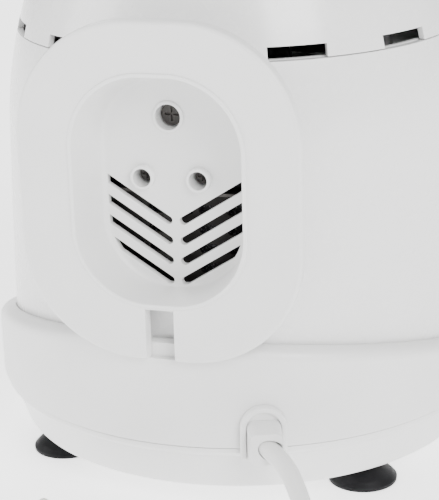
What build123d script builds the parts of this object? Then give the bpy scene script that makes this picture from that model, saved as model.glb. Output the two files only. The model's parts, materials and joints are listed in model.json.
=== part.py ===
"""Compact round hot-air fryer with a drawer, in millimetres.

The body is round about an upright axis. The drawer and its handle are at the front (-Y),
the exhaust collar, the cord gland and the cord are at the rear (+Y). +Z is up and the feet
stand on Z = 0. The origin is under the middle of the fryer's box, without its cord.
"""
from build123d import *
from math import asin, cos, degrees, pi, radians, sin, sqrt, tan
import os

os.makedirs("parts", exist_ok=True)

# ---- driving dimensions ------------------------------------------------------------------
FLANGE_FACE = 106.5      # rear face of the collar's flange, from the round body's axis
HANDLE_FACE = 146.0      # front face of the handle's grip, from the same axis
LIP = 0.6                # the lip round the collar's mouth stands this proud of its flange
AXIS_Y = (HANDLE_FACE - FLANGE_FACE - LIP) / 2

RIM_Z = 9.6              # underside of the base pan's rim
SEAM_Z = 29.5            # joint between base pan and skirt
BELT_R = 103.0           # outside of the skirt
BELT_SLOPE = 0.25        # rise of the skirt's top towards the rear
BELT_TOP_MID = 45.3      # height of the skirt's top at the axis
SILL_TOP = 34.8          # height of the skirt under the drawer
BODY_R = 96.0            # outside of the body at its foot
WALL = 2.4
COVER_Z = 170.0          # joint between body and top cover
DOME_MID_Z = 120.0       # the top cover is part of an ellipsoid about this height
DOME_R = 94.2
DOME_H = 141.0
TOP_R = 40.0             # flat on top of the cover
SLOT_COUNT = 12
SLOT_W = 21.8
SLOT_H = 5.0
GAP = 0.3                # usual clearance

FLANGE_T = 5.5
FLANGE_Z = 126.2
FLANGE_W = 104.2
FLANGE_H = 124.0
FLANGE_CORNER = 42.8
MOUTH_Z = 127.4          # mouth of the collar's recess
MOUTH_W = 62.4
MOUTH_H = 82.6
MOUTH_CORNER = 26.5
RECESS_Z = 126.0         # the recess narrows to this floor
RECESS_W = 55.0
RECESS_H = 79.0
RECESS_CORNER = 25.5
NECK_WALL = 2.2
NECK_W = MOUTH_W + 2 * NECK_WALL
NECK_H = MOUTH_H + 2 * NECK_WALL
NECK_CORNER = MOUTH_CORNER + NECK_WALL
RECESS_FLOOR = 86.5      # floor of the recess, from the axis
FLOOR_T = 2.5
CLIP_W = 10.7            # slot in the flange for the cord
CLIP_X = -0.9            # seen from behind
VENT_PITCH = 7.7
VENT_W = 3.0
VENT_ANGLE = 32.5
VENT_TOP_Z = 111.6

OPENING_W = 151.6        # drawer opening in the body
OPENING_LOW = 36.0
OPENING_HIGH = 131.8
PANEL_R = 97.2
PAN_R = 73.0
BASKET_R = 70.5
LINER_R = 78.0
DECK_Z = 154.0           # reflector plate above the cooking chamber

GLAND_ANGLE = 19.5       # gland, turned from the rear towards -X
CORD_R = 3.55
CORD_Z = 31.5
FOOT_R = 82.5
FOOT_ANGLE = 49.0

TIMER_Z = 200.0
TIMER_TILT = 25.0
TIMER_R = 27.0
KNOB_TOP = 268.0


# ---- planes ------------------------------------------------------------------------------
def level(z):
    """Horizontal plane at height z, with its origin on the body's axis."""
    return Plane(origin=(0, AXIS_Y, z))


def rear(distance):
    """Upright plane behind the axis, seen from behind: x runs towards -X, y is up."""
    return Plane(origin=(0, AXIS_Y + distance, 0), x_dir=(-1, 0, 0), z_dir=(0, 1, 0))


def front(distance):
    """Upright plane ahead of the axis, seen from the front: x runs towards +X, y is up."""
    return Plane(origin=(0, AXIS_Y - distance, 0), x_dir=(1, 0, 0), z_dir=(0, -1, 0))


def side(x):
    """Upright plane across X: its x runs from the axis to the rear, y is up."""
    return Plane(origin=(x, AXIS_Y, 0), x_dir=(0, 1, 0), z_dir=(1, 0, 0))


def behind(angle, distance, z):
    """Upright plane square to a radius, angle degrees from the rear towards -X."""
    out = Vector(-sin(radians(angle)), cos(radians(angle)), 0)
    place = Vector(0, AXIS_Y, z) + out * distance
    return Plane(origin=place, x_dir=(-cos(radians(angle)), -sin(radians(angle)), 0), z_dir=out)


def outline(points):
    """Closed straight-sided face, inside a sketch."""
    Polygon(*points, align=None)


def dome_radius(z, inset=0.0):
    """Radius of the top cover's ellipsoid at height z."""
    ratio = (z - DOME_MID_Z) / (DOME_H - inset)
    return (DOME_R - inset) * sqrt(1 - ratio * ratio)


SECTION = front(0)
UP = Axis((0, AXIS_Y, 0), (0, 0, 1))
TIMER_OUT = Vector(0, -cos(radians(TIMER_TILT)), sin(radians(TIMER_TILT)))
TIMER_FACE = Vector(0, AXIS_Y - dome_radius(TIMER_Z), TIMER_Z)


def timer(distance):
    """Plane square to the timer's axis, distance outside the cover's skin."""
    return Plane(origin=TIMER_FACE + TIMER_OUT * distance, x_dir=(1, 0, 0), z_dir=TIMER_OUT)


FOOT_SPOTS = [
    (FOOT_R * sin(radians(a)), FOOT_R * cos(radians(a)))
    for a in (FOOT_ANGLE, -FOOT_ANGLE, 180 - FOOT_ANGLE, 180 + FOOT_ANGLE)
]
POST_SPOTS = [(52, 52), (-52, 52), (52, -52), (-52, -52)]

# ---- base --------------------------------------------------------------------------------
PAN_FLOOR = 15.0
TONGUE_R = 98.9

with BuildPart() as base_pan:
    with BuildSketch(SECTION):
        outline([
            (0, 13.0), (90.4, 13.0), (91.2, RIM_Z), (94.2, RIM_Z), (94.9, 10.6), (99.6, 24.8),
            (101.5, 26.2), (102.2, 27.2), (102.2, SEAM_Z - 0.6), (99.2, SEAM_Z - 0.6),
            (99.2, 26.0), (96.6, 23.5), (92.6, PAN_FLOOR), (0, PAN_FLOOR),
        ])
    revolve(axis=UP)
    with BuildSketch(level(0)):
        with Locations(*FOOT_SPOTS):
            Circle(3.7)
        with Locations(*POST_SPOTS):
            Circle(2.2)
    extrude(amount=40, mode=Mode.SUBTRACT)
    with BuildSketch(level(12)):
        with GridLocations(7, 0, 9, 1):
            SlotOverall(30, 3, rotation=90)
    extrude(amount=4, mode=Mode.SUBTRACT)
    with BuildSketch(behind(GLAND_ANGLE, 88, CORD_Z)):
        Rectangle(12.4, 13.2)
    extrude(amount=20, mode=Mode.SUBTRACT)
base_pan.part.label = "base_pan"
export_step(base_pan.part, "parts/base_pan.step")

with BuildPart() as suction_feet:
    for spot in FOOT_SPOTS:
        foot_plane = Plane(origin=(spot[0], AXIS_Y + spot[1], 0), z_dir=(0, -1, 0), x_dir=(1, 0, 0))
        with BuildSketch(foot_plane):
            outline([
                (0, 3.4), (6.5, 2.4), (12.2, 0), (13.4, 0), (13.5, 1.2), (11.6, 3.2), (8.2, 5.6),
                (5.2, 7.8), (5.2, 13.0), (3.5, 13.0), (3.5, 15.1), (4.8, 15.1), (3.0, 18.0), (0, 18.0),
            ])
        revolve(axis=Axis(foot_plane.origin, (0, 0, 1)))
suction_feet.part.label = "suction_feet"
export_step(suction_feet.part, "parts/suction_feet.step")

with BuildPart() as base_screws:
    for spot in POST_SPOTS:
        with BuildSketch(level(10.6)):
            with Locations(spot):
                Circle(3.6)
        extrude(amount=2.4)
        with BuildSketch(level(13.0)):
            with Locations(spot):
                Circle(1.5)
        extrude(amount=14)
base_screws.part.label = "base_screws"
export_step(base_screws.part, "parts/base_screws.step")

with BuildPart() as inner_frame:
    with BuildSketch(level(33.0)):
        Circle(93.0)
    extrude(amount=2.0)
    with BuildSketch(level(PAN_FLOOR)):
        with Locations(*POST_SPOTS):
            Circle(4.5)
    extrude(amount=18.5)
    with BuildSketch(level(PAN_FLOOR)):
        with Locations(*POST_SPOTS):
            Circle(1.5)
    extrude(amount=13, mode=Mode.SUBTRACT)
    with BuildSketch(level(32)):
        with PolarLocations(84, 8, start_angle=22.5):
            SlotOverall(24, 5, rotation=90)
    extrude(amount=4, mode=Mode.SUBTRACT)
    with BuildSketch(behind(GLAND_ANGLE, 86, CORD_Z)):
        Rectangle(14, 14)
    extrude(amount=20, mode=Mode.SUBTRACT)
inner_frame.part.label = "inner_frame"
export_step(inner_frame.part, "parts/inner_frame.step")

# ---- skirt, body and top cover -----------------------------------------------------------
BELT_INNER = BODY_R + GAP
KINK_Y = (SILL_TOP - BELT_TOP_MID) / BELT_SLOPE

with BuildPart() as belt_skirt:
    with BuildSketch(SECTION):
        outline([(BELT_INNER, SEAM_Z), (BELT_R, SEAM_Z), (BELT_R, 90), (BELT_INNER, 90)])
    revolve(axis=UP)
    with BuildSketch(side(-120)):
        outline([
            (-120, SILL_TOP), (KINK_Y, SILL_TOP), (120, BELT_TOP_MID + 120 * BELT_SLOPE),
            (120, 120), (-120, 120),
        ])
    extrude(amount=240, mode=Mode.SUBTRACT)
    shoulder = belt_skirt.edges().filter_by(
        lambda e: e.center().Z > SEAM_Z + 2 and abs(
            (e @ 0.3 - Vector(0, AXIS_Y, (e @ 0.3).Z)).length - BELT_R) < 0.2)
    fillet(shoulder, 4.6)
    with BuildSketch(SECTION):
        outline([(BELT_INNER, 26.6), (TONGUE_R, 26.6), (TONGUE_R, SEAM_Z), (BELT_INNER, SEAM_Z)])
    revolve(axis=UP)
    with BuildSketch(behind(GLAND_ANGLE, 88, CORD_Z)):
        Rectangle(12.4, 13.2)
    extrude(amount=30, mode=Mode.SUBTRACT)
    with BuildSketch(rear(FLANGE_FACE - FLANGE_T - GAP)):
        with Locations((0, FLANGE_Z)):
            RectangleRounded(FLANGE_W + 0.8, FLANGE_H + 0.8, FLANGE_CORNER + 0.4)
    extrude(amount=20, mode=Mode.SUBTRACT)
belt_skirt.part.label = "belt_skirt"
export_step(belt_skirt.part, "parts/belt_skirt.step")

BODY_STEPS = [(BODY_R, 30.0), (95.8, 65.0), (94.9, 97.5), (93.8, 129.5), (92.7, 146.0)]


def body_skin(inset, top_z):
    """Side outline of the body from its foot up to the joint, as one smooth line."""
    points = [(r - inset, z) for r, z in BODY_STEPS]
    return points + [(dome_radius(160) - inset + 0.1, 160.0), (dome_radius(COVER_Z) - inset, top_z)]


with BuildPart() as body_shell:
    with BuildSketch(SECTION):
        with BuildLine():
            outer = Spline(*body_skin(0, COVER_Z))
            inner = Spline(*body_skin(WALL, COVER_Z))
            Polyline(outer @ 0, (BODY_R, 27.0), (BODY_R - WALL, 27.0), inner @ 0)
            Line(outer @ 1, inner @ 1)
        make_face()
    revolve(axis=UP)
    with BuildSketch(SECTION):
        outline([(83.0, 166.8), (86.4, 166.8), (86.4, 168.6), (84.7, 169.2), (84.7, 170.2), (83.0, 170.2)])
    revolve(axis=UP)
    with BuildSketch(SECTION):
        with Locations((0, (OPENING_LOW + OPENING_HIGH) / 2)):
            RectangleRounded(OPENING_W, OPENING_HIGH - OPENING_LOW, 8.8)
    extrude(amount=120, mode=Mode.SUBTRACT)
    with BuildSketch(rear(60)):
        with Locations((0, MOUTH_Z)):
            RectangleRounded(NECK_W + 2 * GAP, NECK_H + 2 * GAP, NECK_CORNER + GAP)
    extrude(amount=60, mode=Mode.SUBTRACT)
    with BuildSketch(behind(GLAND_ANGLE, 80, CORD_Z)):
        Rectangle(12.4, 13.2)
    extrude(amount=30, mode=Mode.SUBTRACT)
body_shell.part.label = "body_shell"
export_step(body_shell.part, "parts/body_shell.step")

COVER_START = COVER_Z + 0.4
TOP_Z = DOME_MID_Z + DOME_H * sqrt(1 - (TOP_R / DOME_R) ** 2)


def dome_angle(z, inset=0.0):
    """Ellipse parameter, in degrees, at height z."""
    return degrees(asin((z - DOME_MID_Z) / (DOME_H - inset)))


with BuildPart() as top_cover:
    with BuildSketch(SECTION):
        with BuildLine():
            skin = EllipticalCenterArc(
                (0, DOME_MID_Z), DOME_R, DOME_H, dome_angle(COVER_START),
                arc_size=dome_angle(TOP_Z) - dome_angle(COVER_START))
            lining = EllipticalCenterArc(
                (0, DOME_MID_Z), DOME_R - WALL, DOME_H - WALL, dome_angle(COVER_START, WALL),
                arc_size=dome_angle(TOP_Z - WALL, WALL) - dome_angle(COVER_START, WALL))
            Line(skin @ 0, lining @ 0)
            Polyline(skin @ 1, (0, TOP_Z), (0, TOP_Z - WALL), lining @ 1)
        make_face()
    revolve(axis=UP)
    with BuildSketch(level(COVER_Z)):
        with PolarLocations(88, SLOT_COUNT, start_angle=90):
            Rectangle(20, SLOT_W)
    extrude(amount=SLOT_H, mode=Mode.SUBTRACT)
    with BuildSketch(level(TOP_Z - 1.2)):
        Circle(38.3)
    extrude(amount=2, mode=Mode.SUBTRACT)
    with BuildSketch(level(TOP_Z - 5)):
        Circle(3.6)
    extrude(amount=6, mode=Mode.SUBTRACT)
    with BuildSketch(timer(-12)):
        Circle(TIMER_R + GAP)
    extrude(amount=20, mode=Mode.SUBTRACT)
    with BuildSketch(rear(60)):
        with Locations((0, MOUTH_Z)):
            RectangleRounded(NECK_W + 2 * GAP, NECK_H + 2 * GAP, NECK_CORNER + GAP)
    extrude(amount=60, mode=Mode.SUBTRACT)
top_cover.part.label = "top_cover"
export_step(top_cover.part, "parts/top_cover.step")

# ---- controls ----------------------------------------------------------------------------
with BuildPart() as temperature_dial:
    with BuildSketch(level(TOP_Z - 1.2)):
        Circle(38.0)
        Circle(3.6, mode=Mode.SUBTRACT)
    extrude(amount=1.2)
temperature_dial.part.label = "temperature_dial"
export_step(temperature_dial.part, "parts/temperature_dial.step")


def knob(plane, radius, height, bore):
    """Round knob with a thin skirt and a waisted grip, standing on a plane."""
    along = Axis(plane.origin, plane.z_dir)
    with BuildPart() as made:
        with BuildSketch(plane):
            Circle(radius)
        extrude(amount=3)
        fillet(made.edges().group_by(along)[-1], 1.2)
        with BuildSketch(plane.offset(2)):
            Circle(radius - 3)
            with Locations((radius * 1.02, 0), (-radius * 1.02, 0)):
                Circle(radius * 0.66, mode=Mode.SUBTRACT)
        extrude(amount=height - 2)
        fillet(made.edges().group_by(along)[-1], 1.5)
        with BuildSketch(plane):
            Circle(bore)
        extrude(amount=height - 4, mode=Mode.SUBTRACT)
    return made


temperature_knob = knob(level(TOP_Z + 1.2), 24, KNOB_TOP - TOP_Z - 1.2, 3.05)
temperature_knob.part.label = "temperature_knob"
export_step(temperature_knob.part, "parts/temperature_knob.step")

THERMOSTAT_LOW = 224.0
with BuildPart() as temperature_shaft:
    with BuildSketch(level(THERMOSTAT_LOW + 4)):
        Circle(3.0)
    extrude(amount=KNOB_TOP - 4.2 - THERMOSTAT_LOW - 4)
temperature_shaft.part.label = "temperature_shaft"
export_step(temperature_shaft.part, "parts/temperature_shaft.step")

with BuildPart() as thermostat:
    with BuildSketch(level(THERMOSTAT_LOW)):
        RectangleRounded(30, 26, 2)
    extrude(amount=TOP_Z - WALL - THERMOSTAT_LOW)
    with BuildSketch(level(THERMOSTAT_LOW - 7)):
        with Locations((-9, 0), (9, 0)):
            Rectangle(0.8, 6)
    extrude(amount=7)
    with BuildSketch(level(THERMOSTAT_LOW + 4)):
        Circle(3.1)
    extrude(amount=30, mode=Mode.SUBTRACT)
thermostat.part.label = "thermostat"
export_step(thermostat.part, "parts/thermostat.step")

BEZEL_FACE = 2.0
LAMP_ANGLES = (-35, -145)
LAMP_RING = 23.6
with BuildPart() as timer_bezel:
    with BuildSketch(timer(-10)):
        Circle(TIMER_R)
    extrude(amount=10 + BEZEL_FACE)
    fillet(edges().group_by(Axis(TIMER_FACE, TIMER_OUT))[-1], 1.0)
    with BuildSketch(timer(-10)):
        Circle(TIMER_R - 2)
    extrude(amount=10 + BEZEL_FACE - 2.4, mode=Mode.SUBTRACT)
    with BuildSketch(timer(-2)):
        Circle(3.6)
        for angle in LAMP_ANGLES:
            with Locations((LAMP_RING * cos(radians(angle)), LAMP_RING * sin(radians(angle)))):
                Circle(1.5)
    extrude(amount=6, mode=Mode.SUBTRACT)
timer_bezel.part.label = "timer_bezel"
export_step(timer_bezel.part, "parts/timer_bezel.step")

timer_knob = knob(timer(BEZEL_FACE + 0.8), 20, 17, 3.05)
timer_knob.part.label = "timer_knob"
export_step(timer_knob.part, "parts/timer_knob.step")

with BuildPart() as timer_shaft:
    with BuildSketch(timer(-20)):
        Circle(3.0)
    extrude(amount=20 + BEZEL_FACE + 0.8 + 12.8)
timer_shaft.part.label = "timer_shaft"
export_step(timer_shaft.part, "parts/timer_shaft.step")

TIMER_BACK = -36.0
with BuildPart() as timer_unit:
    with BuildSketch(timer(TIMER_BACK)):
        Circle(18)
    extrude(amount=-TIMER_BACK - 2)
    with BuildSketch(timer(-10)):
        Rectangle(44, 9)
    extrude(amount=1.2)
    with BuildSketch(timer(-20)):
        Circle(3.1)
    extrude(amount=24, mode=Mode.SUBTRACT)
timer_unit.part.label = "timer_unit"
export_step(timer_unit.part, "parts/timer_unit.step")

with BuildPart() as timer_bell:
    with BuildSketch(timer(TIMER_BACK - 5)):
        Circle(14)
    extrude(amount=5)
    fillet(edges().group_by(Axis(TIMER_FACE, TIMER_OUT))[0], 2.5)
timer_bell.part.label = "timer_bell"
export_step(timer_bell.part, "parts/timer_bell.step")

for lamp_name, angle in zip(("power_lamp", "heating_lamp"), LAMP_ANGLES):
    with BuildPart() as lamp:
        with BuildSketch(timer(BEZEL_FACE - 2.4)):
            with Locations((LAMP_RING * cos(radians(angle)), LAMP_RING * sin(radians(angle)))):
                Circle(1.45)
        extrude(amount=2.9)
    lamp.part.label = lamp_name
    export_step(lamp.part, "parts/" + lamp_name + ".step")

# ---- exhaust collar at the rear ----------------------------------------------------------
SCREW_SPOTS = [(-1.5, 150.2), (9.5, 127.6), (-11.7, 127.6)]
SCREW_HOLES = (4.7, 3.4, 3.4)
BOSS_HEIGHTS = (0.8, 2.4, 2.4)
BOSS_WALL = 1.2
SCREW_SEAT = 79.8        # back end of the screw wells, from the axis
SEAT_T = 0.8
VENT_SPOTS = [VENT_TOP_Z - VENT_PITCH * row for row in range(4)]
FLANGE_LOW = FLANGE_Z - FLANGE_H / 2

with BuildPart() as rear_collar:
    with BuildSketch(rear(FLANGE_FACE - FLANGE_T)):
        with Locations((0, FLANGE_Z)):
            RectangleRounded(FLANGE_W, FLANGE_H, FLANGE_CORNER)
    extrude(amount=FLANGE_T)
    fillet(rear_collar.edges().group_by(Axis.Y)[-1], 1.6)
    fillet(rear_collar.edges().group_by(Axis.Y)[0], 1.0)
    with BuildSketch(rear(RECESS_FLOOR - FLOOR_T)):
        with Locations((0, MOUTH_Z)):
            RectangleRounded(NECK_W, NECK_H, NECK_CORNER)
    extrude(amount=FLANGE_FACE - RECESS_FLOOR + FLOOR_T - 2)
    with BuildSketch(rear(FLANGE_FACE - 1)):
        with Locations((0, MOUTH_Z)):
            RectangleRounded(MOUTH_W + 3.0, MOUTH_H + 3.0, MOUTH_CORNER + 1.5)
    extrude(amount=1 + LIP)
    with BuildSketch(rear(RECESS_FLOOR)):
        with Locations((0, RECESS_Z)):
            RectangleRounded(RECESS_W, RECESS_H, RECESS_CORNER)
    with BuildSketch(rear(FLANGE_FACE + LIP)):
        with Locations((0, MOUTH_Z)):
            RectangleRounded(MOUTH_W, MOUTH_H, MOUTH_CORNER)
    loft(mode=Mode.SUBTRACT)
    floor_edge = rear_collar.faces().filter_by(Axis.Y).filter_by(
        lambda f: abs(f.center().Y - AXIS_Y - RECESS_FLOOR) < 0.1)[0].outer_wire().edges()
    fillet(floor_edge, 2.0)
    mouth_edge = rear_collar.edges().filter_by(
        lambda e: abs(e.center().Y - AXIS_Y - FLANGE_FACE - LIP) < 0.05)
    fillet(mouth_edge, 0.5)
    for spot, radius, height in zip(SCREW_SPOTS, SCREW_HOLES, BOSS_HEIGHTS):
        with BuildSketch(rear(SCREW_SEAT)):
            with Locations(spot):
                Circle(radius + BOSS_WALL)
        extrude(amount=RECESS_FLOOR + height - SCREW_SEAT)
        fillet(rear_collar.edges().filter_by(GeomType.CIRCLE).filter_by(
            lambda e: abs(e.radius - radius - BOSS_WALL) < 0.01
            and abs(e.center().Y - AXIS_Y - RECESS_FLOOR - height) < 0.05), 0.5)
    with BuildSketch(rear(SCREW_SEAT + SEAT_T)):
        for spot, radius in zip(SCREW_SPOTS, SCREW_HOLES):
            with Locations(spot):
                Circle(radius)
    extrude(amount=12, mode=Mode.SUBTRACT)
    with BuildSketch(rear(SCREW_SEAT - 1)):
        with Locations(*SCREW_SPOTS):
            Circle(1.6)
    extrude(amount=4, mode=Mode.SUBTRACT)
    with BuildSketch(rear(RECESS_FLOOR - FLOOR_T)):
        for z in VENT_SPOTS:
            for hand in (1, -1):
                run = 36 * cos(radians(VENT_ANGLE)) / 2
                rise = 36 * sin(radians(VENT_ANGLE)) / 2
                with Locations((hand * (2.9 + run), z + rise)):
                    SlotCenterToCenter(36, VENT_W, rotation=hand * VENT_ANGLE)
        with Locations((0, MOUTH_Z)):
            RectangleRounded(51.4, 80.6, 25.2, mode=Mode.INTERSECT)
    extrude(amount=FLOOR_T + 1, mode=Mode.SUBTRACT)
    with BuildSketch(rear(FLANGE_FACE - FLANGE_T - 1)):
        with Locations((CLIP_X, (FLANGE_LOW - 3 + MOUTH_Z - NECK_H / 2) / 2)):
            Rectangle(CLIP_W, MOUTH_Z - NECK_H / 2 - FLANGE_LOW + 3)
    extrude(amount=FLANGE_T + 4, mode=Mode.SUBTRACT)
rear_collar.part.label = "rear_collar"
export_step(rear_collar.part, "parts/rear_collar.step")

with BuildPart() as collar_screws:
    for spot, radius in zip(SCREW_SPOTS, SCREW_HOLES):
        with BuildSketch(rear(SCREW_SEAT + SEAT_T)):
            with Locations(spot):
                Circle(radius - 0.6)
        extrude(amount=1.6)
        with BuildSketch(rear(SCREW_SEAT + SEAT_T + 0.8)):
            with Locations(spot):
                Rectangle(radius * 1.1, 0.8)
                Rectangle(0.8, radius * 1.1)
        extrude(amount=1, mode=Mode.SUBTRACT)
        with BuildSketch(rear(SCREW_SEAT - 1.3)):
            with Locations(spot):
                Circle(1.45)
        extrude(amount=1.3 + SEAT_T)
collar_screws.part.label = "collar_screws"
export_step(collar_screws.part, "parts/collar_screws.step")

DUCT_BACK = RECESS_FLOOR - FLOOR_T
with BuildPart() as exhaust_duct:
    with BuildSketch(rear(55)):
        with Locations((0, 102)):
            RectangleRounded(61, 40, 5)
            RectangleRounded(58.6, 37.6, 4, mode=Mode.SUBTRACT)
    extrude(amount=DUCT_BACK - 55)
    with BuildSketch(level(60)):
        Circle(LINER_R)
    extrude(amount=80, mode=Mode.SUBTRACT)
exhaust_duct.part.label = "exhaust_duct"
export_step(exhaust_duct.part, "parts/exhaust_duct.step")

with BuildPart() as screw_plate:
    with BuildSketch(rear(LINER_R + 0.3)):
        with Locations((0, 138.0)):
            RectangleRounded(38, 31, 4)
        with Locations(*SCREW_SPOTS):
            Circle(1.5, mode=Mode.SUBTRACT)
    extrude(amount=SCREW_SEAT - LINER_R - 0.4)
screw_plate.part.label = "screw_plate"
export_step(screw_plate.part, "parts/screw_plate.step")

# ---- cooking chamber, heater and fan -----------------------------------------------------
with BuildPart() as chamber_liner:
    with BuildSketch(level(35.0)):
        Circle(LINER_R)
        Circle(LINER_R - 1.0, mode=Mode.SUBTRACT)
    extrude(amount=DECK_Z - 35.0)
    with BuildSketch(front(0)):
        with Locations((0, (30 + OPENING_HIGH) / 2)):
            Rectangle(148.8, OPENING_HIGH - 30)
    extrude(amount=120, mode=Mode.SUBTRACT)
    with BuildSketch(rear(60)):
        with Locations((0, 102)):
            with GridLocations(10, 7.5, 5, 4):
                SlotOverall(8, 4)
    extrude(amount=40, mode=Mode.SUBTRACT)
chamber_liner.part.label = "chamber_liner"
export_step(chamber_liner.part, "parts/chamber_liner.step")

ELEMENT_Z = 140.6
ELEMENT_R = 3.2
with BuildPart() as reflector_plate:
    with BuildSketch(level(DECK_Z)):
        Circle(88.0)
        Circle(5.0, mode=Mode.SUBTRACT)
        with PolarLocations(56, 2, start_angle=84, angular_range=12, endpoint=True):
            Circle(ELEMENT_R + GAP, mode=Mode.SUBTRACT)
        with Locations((0, 90)):
            Rectangle(76, 13.2, mode=Mode.SUBTRACT)
        with Locations((-SCREW_SPOTS[0][0], 83.4)):
            Rectangle(14, 10.4, mode=Mode.SUBTRACT)
    extrude(amount=1.2)
reflector_plate.part.label = "reflector_plate"
export_step(reflector_plate.part, "parts/reflector_plate.step")

with BuildPart() as heating_element:
    for ring in (40.0, 56.0):
        with BuildSketch(Plane(
                origin=(0, AXIS_Y, ELEMENT_Z), x_dir=(cos(radians(96)), sin(radians(96)), 0),
                z_dir=(sin(radians(96)), -cos(radians(96)), 0))):
            with Locations((ring, 0)):
                Circle(ELEMENT_R)
        revolve(axis=UP, revolution_arc=348)
    with BuildSketch(level(ELEMENT_Z)):
        with PolarLocations(56, 2, start_angle=84, angular_range=12, endpoint=True):
            Circle(ELEMENT_R)
    extrude(amount=DECK_Z + 8 - ELEMENT_Z)
    with Locations(level(ELEMENT_Z)):
        with PolarLocations(48, 2, start_angle=84, angular_range=12, endpoint=True):
            Cylinder(ELEMENT_R, 16, rotation=(0, 90, 0))
heating_element.part.label = "heating_element"
export_step(heating_element.part, "parts/heating_element.step")

with BuildPart() as element_clips:
    with BuildSketch(level(ELEMENT_Z + ELEMENT_R)):
        with PolarLocations(48, 3, start_angle=30):
            Rectangle(24, 6)
    extrude(amount=1.0)
    with BuildSketch(level(ELEMENT_Z + ELEMENT_R)):
        with PolarLocations(62, 3, start_angle=30):
            Rectangle(4, 6)
    extrude(amount=DECK_Z - ELEMENT_Z - ELEMENT_R)
element_clips.part.label = "element_clips"
export_step(element_clips.part, "parts/element_clips.step")

SHAFT_R = 3.0
SHAFT_LOW = 143.6


def fan(z, radius, thickness, blade_count, hub_r):
    """Flat centrifugal fan: a hub, a thin disc and upright blades."""
    with BuildPart() as made:
        with BuildSketch(level(z)):
            Circle(hub_r)
        extrude(amount=thickness)
        with BuildSketch(level(z + thickness - 1)):
            Circle(radius)
        extrude(amount=1)
        with BuildSketch(level(z)):
            with PolarLocations((radius + hub_r) / 2, blade_count):
                Rectangle(radius - hub_r - 1, 1.2, rotation=14)
        extrude(amount=thickness)
        with BuildSketch(level(z)):
            Circle(SHAFT_R + 0.05)
        extrude(amount=thickness, mode=Mode.SUBTRACT)
    return made


convection_fan = fan(145.4, 36, 6.4, 9, 7)
convection_fan.part.label = "convection_fan"
export_step(convection_fan.part, "parts/convection_fan.step")

cooling_fan = fan(158.6, 40, 8.0, 11, 8)
cooling_fan.part.label = "cooling_fan"
export_step(cooling_fan.part, "parts/cooling_fan.step")

with BuildPart() as fan_shaft:
    with BuildSketch(level(SHAFT_LOW)):
        Circle(SHAFT_R)
    extrude(amount=206.0 - SHAFT_LOW)
fan_shaft.part.label = "fan_shaft"
export_step(fan_shaft.part, "parts/fan_shaft.step")

with BuildPart() as fan_nut:
    with BuildSketch(level(SHAFT_LOW - 4)):
        RegularPolygon(5.4, 6)
    extrude(amount=5.6)
    with BuildSketch(level(SHAFT_LOW)):
        Circle(SHAFT_R + 0.02)
    extrude(amount=3, mode=Mode.SUBTRACT)
    fillet(fan_nut.edges().group_by(Axis.Z)[0], 0.8)
fan_nut.part.label = "fan_nut"
export_step(fan_nut.part, "parts/fan_nut.step")

BRACKET_Z = 171.0
MOTOR_Z = 178.0
MOTOR_H = 20.0
with BuildPart() as motor_bracket:
    with BuildSketch(level(BRACKET_Z)):
        RectangleRounded(112, 30, 3)
        Circle(SHAFT_R + 0.4, mode=Mode.SUBTRACT)
        with GridLocations(44, 18, 2, 2):
            Circle(1.6, mode=Mode.SUBTRACT)
    extrude(amount=1.6)
    with BuildSketch(level(DECK_Z + 1.2)):
        with GridLocations(110.4, 0, 2, 1):
            Rectangle(1.6, 26)
        with GridLocations(124.4, 0, 2, 1):
            Rectangle(1.6, 0.1)
    extrude(amount=BRACKET_Z - DECK_Z - 1.2)
    with BuildSketch(level(DECK_Z + 1.2)):
        with GridLocations(118, 0, 2, 1):
            Rectangle(16, 26)
    extrude(amount=1.6)
motor_bracket.part.label = "motor_bracket"
export_step(motor_bracket.part, "parts/motor_bracket.step")

with BuildPart() as motor_stator:
    with BuildSketch(level(MOTOR_Z)):
        RectangleRounded(56, 44, 3)
        Circle(15.0, mode=Mode.SUBTRACT)
        with GridLocations(44, 18, 2, 2):
            Circle(1.6, mode=Mode.SUBTRACT)
        with Locations((0, 18)):
            Rectangle(24, 3, mode=Mode.SUBTRACT)
    extrude(amount=MOTOR_H)
motor_stator.part.label = "motor_stator"
export_step(motor_stator.part, "parts/motor_stator.step")

with BuildPart() as motor_winding:
    with BuildSketch(level(MOTOR_Z - 3)):
        with Locations((0, 18)):
            RectangleRounded(23.4, 13, 2)
    extrude(amount=2.8)
    with BuildSketch(level(MOTOR_Z + MOTOR_H + 0.2)):
        with Locations((0, 18)):
            RectangleRounded(23.4, 13, 2)
    extrude(amount=2.8)
    with BuildSketch(level(MOTOR_Z - 1)):
        with Locations((0, 18)):
            Rectangle(23.4, 2.6)
    extrude(amount=MOTOR_H + 2)
motor_winding.part.label = "motor_winding"
export_step(motor_winding.part, "parts/motor_winding.step")

with BuildPart() as motor_rotor:
    with BuildSketch(level(MOTOR_Z + 0.5)):
        Circle(14.3)
        Circle(SHAFT_R + 0.02, mode=Mode.SUBTRACT)
    extrude(amount=MOTOR_H - 1)
motor_rotor.part.label = "motor_rotor"
export_step(motor_rotor.part, "parts/motor_rotor.step")

with BuildPart() as motor_screws:
    with BuildSketch(level(BRACKET_Z - 2.0)):
        with GridLocations(44, 18, 2, 2):
            Circle(2.8)
    extrude(amount=2.0)
    with BuildSketch(level(BRACKET_Z)):
        with GridLocations(44, 18, 2, 2):
            Circle(1.5)
    extrude(amount=MOTOR_Z + MOTOR_H - BRACKET_Z)
motor_screws.part.label = "motor_screws"
export_step(motor_screws.part, "parts/motor_screws.step")

with BuildPart() as motor_spacers:
    with BuildSketch(level(BRACKET_Z + 1.6)):
        with GridLocations(44, 18, 2, 2):
            Circle(3.0)
            Circle(1.55, mode=Mode.SUBTRACT)
    extrude(amount=MOTOR_Z - BRACKET_Z - 1.6)
motor_spacers.part.label = "motor_spacers"
export_step(motor_spacers.part, "parts/motor_spacers.step")

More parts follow.
